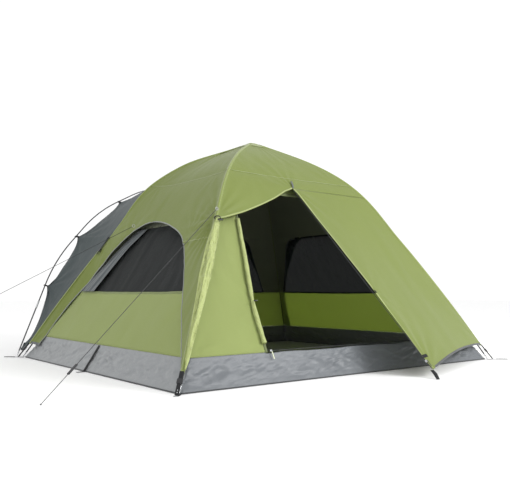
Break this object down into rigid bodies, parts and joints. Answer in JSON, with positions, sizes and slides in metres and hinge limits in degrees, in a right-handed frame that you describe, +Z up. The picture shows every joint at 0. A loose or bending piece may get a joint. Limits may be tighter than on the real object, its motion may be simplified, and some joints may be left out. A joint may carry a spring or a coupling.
{
  "type": "dome tent",
  "caption": "Pitched dome tent with a flysheet over an inner tent, bent poles, a gathered front door, arched side windows and a rear awning.",
  "frame": {"origin": "on the ground under the middle of the crown", "axes": "+X to the right of someone facing the door, +Y from the door to the rear, +Z up"},
  "size_m": [3.6602, 2.63, 1.5122],
  "materials": {
    "fly_green": "satin coated polyester",
    "lining_green": "matt breathable cloth",
    "groundsheet_grey": "matt coated groundsheet",
    "canopy_grey": "satin coated polyester",
    "mesh_black": "fine mesh",
    "webbing_black": "ribbed webbing",
    "webbing_grey": "ribbed webbing",
    "pole_fibreglass": "gloss fibreglass",
    "metal_silver": "satin",
    "plastic_black": "matt",
    "cord_dark": "braided cord",
    "cord_bright": "braided cord",
    "zip_coil": "satin",
    "elastic": "matt"
  },
  "bodies": {
    "tent": {"bathtub_floor": "groundsheet_grey", "crown_hub": "plastic_black", "crown_patch": "fly_green", "door_zip_coil": "zip_coil", "fly_door_roll": "fly_green", "fly_front_canopy": "fly_green", "fly_front_flap": "fly_green", "fly_left_panel": "fly_green", "fly_right_panel": "fly_green", "fly_zip_coil": "zip_coil", "flysheet_tabs": "webbing_grey", "foot_rings": "metal_silver", "ground_straps": "webbing_black", "guy_knots": "cord_dark", "guy_line_front": "cord_dark", "guy_line_side": "cord_dark", "guy_rings": "metal_silver", "inner_door_roll": "lining_green", "inner_front_left_panel": "lining_green", "inner_front_right_panel": "lining_green", "inner_front_roof": "lining_green", "inner_left_roof": "lining_green", "inner_left_wall": "lining_green", "inner_left_window": "mesh_black", "inner_rear_roof": "lining_green", "inner_rear_wall": "lining_green", "inner_rear_window": "mesh_black", "inner_right_roof": "lining_green", "inner_right_wall": "lining_green", "inner_right_window": "mesh_black", "peg_eyelets": "metal_silver", "pole_clips": "plastic_black", "pole_ferrules": "metal_silver", "pole_front_left": "pole_fibreglass", "pole_front_right": "pole_fibreglass", "pole_rear_left": "pole_fibreglass", "pole_rear_right": "pole_fibreglass", "pole_shock_cords": "elastic", "pole_tips": "metal_silver", "rear_awning_left": "canopy_grey", "rear_awning_right": "canopy_grey", "rear_hoop_pole": "pole_fibreglass", "window_flap": "canopy_grey"},
    "fly_zip_slider": {"fly_zip_slider": "metal_silver"},
    "fly_zip_pull": {"fly_zip_pull": "plastic_black"},
    "door_zip_slider": {"door_zip_slider": "metal_silver"},
    "door_zip_pull": {"door_zip_pull": "cord_bright"},
    "tensioner_front": {"tensioner_front": "plastic_black"},
    "tensioner_side": {"tensioner_side": "plastic_black"},
    "corner_buckle_front_left": {"corner_buckle_front_left": "plastic_black"},
    "corner_buckle_front_right": {"corner_buckle_front_right": "plastic_black"},
    "corner_buckle_rear_left": {"corner_buckle_rear_left": "plastic_black"},
    "corner_buckle_rear_right": {"corner_buckle_rear_right": "plastic_black"},
    "ridge_buckle": {"ridge_buckle": "plastic_black"},
    "door_tie_toggle": {"door_tie_toggle": "plastic_black"},
    "inner_tie_toggle": {"inner_tie_toggle": "plastic_black"},
    "lantern_hook": {"lantern_hook": "plastic_black"},
    "corner_tab_front_right": {"corner_tab_front_right": "webbing_black"},
    "corner_tab_rear_left": {"corner_tab_rear_left": "webbing_black"},
    "corner_tab_rear_right": {"corner_tab_rear_right": "webbing_black"}
  },
  "joints": [
    {"name": "fly_zip_slide", "type": "slide", "parent": "tent", "child": "fly_zip_slider", "axis": [-0.1552, 0.6274, 0.7631], "range_m": [-0.03, 1.3]},
    {"name": "fly_zip_pull_swing", "type": "hinge", "parent": "fly_zip_slider", "child": "fly_zip_pull", "pos_m": [0.13564, -1.37297, 0.09224], "axis": [0.1326, -0.7522, 0.6454], "range_deg": [-60, 60]},
    {"name": "door_zip_slide", "type": "slide", "parent": "tent", "child": "door_zip_slider", "axis": [1, 0, 0], "range_m": [0, 1.25]},
    {"name": "door_zip_pull_swing", "type": "hinge", "parent": "door_zip_slider", "child": "door_zip_pull", "pos_m": [-0.628, -0.97985, 0.15431], "axis": [0, -0.8816, 0.4721], "range_deg": [-65, 65]},
    {"name": "tensioner_front_slide", "type": "slide", "parent": "tent", "child": "tensioner_front", "axis": [-0.7417, -0.207, -0.638], "range_m": [-0.5, 0.12]},
    {"name": "tensioner_side_slide", "type": "slide", "parent": "tent", "child": "tensioner_side", "axis": [-0.8446, 0.2287, -0.484], "range_m": [-0.5, 0.12]},
    {"name": "corner_buckle_front_left_slide", "type": "slide", "parent": "tent", "child": "corner_buckle_front_left", "axis": [-0.4735, -0.4059, -0.7817], "range_m": [-0.03, 0.03]},
    {"name": "corner_buckle_front_right_slide", "type": "slide", "parent": "tent", "child": "corner_buckle_front_right", "axis": [0.4735, -0.4059, -0.7817], "range_m": [-0.03, 0.03]},
    {"name": "corner_buckle_rear_left_slide", "type": "slide", "parent": "tent", "child": "corner_buckle_rear_left", "axis": [-0.4735, 0.4059, -0.7817], "range_m": [-0.03, 0.03]},
    {"name": "corner_buckle_rear_right_slide", "type": "slide", "parent": "tent", "child": "corner_buckle_rear_right", "axis": [0.4735, 0.4059, -0.7817], "range_m": [-0.03, 0.03]},
    {"name": "ridge_buckle_slide", "type": "slide", "parent": "tent", "child": "ridge_buckle", "axis": [-0.5079, 0.2493, -0.8246], "range_m": [-0.03, 0.03]},
    {"name": "door_tie_toggle_turn", "type": "hinge", "parent": "tent", "child": "door_tie_toggle", "pos_m": [-0.76142, -0.70079, 0.854], "axis": [0, 1, 0], "range_deg": [-90, 90]},
    {"name": "inner_tie_toggle_turn", "type": "hinge", "parent": "tent", "child": "inner_tie_toggle", "pos_m": [-0.655, -0.87752, 0.414], "axis": [0, 1, 0], "range_deg": [-90, 90]},
    {"name": "lantern_hook_swing", "type": "hinge", "parent": "tent", "child": "lantern_hook", "pos_m": [0, 0, 1.436], "axis": [1, 0, 0], "range_deg": [-60, 60]},
    {"name": "corner_tab_front_right_swing", "type": "hinge", "parent": "tent", "child": "corner_tab_front_right", "pos_m": [1.2634, -1.08292, 0.0025], "axis": [0, 0, 1], "range_deg": [-50, 50]},
    {"name": "corner_tab_rear_left_swing", "type": "hinge", "parent": "tent", "child": "corner_tab_rear_left", "pos_m": [-1.2634, 1.08292, 0.0025], "axis": [0, 0, 1], "range_deg": [-50, 50]},
    {"name": "corner_tab_rear_right_swing", "type": "hinge", "parent": "tent", "child": "corner_tab_rear_right", "pos_m": [1.2634, 1.08292, 0.0025], "axis": [0, 0, 1], "range_deg": [-50, 50]}
  ]
}
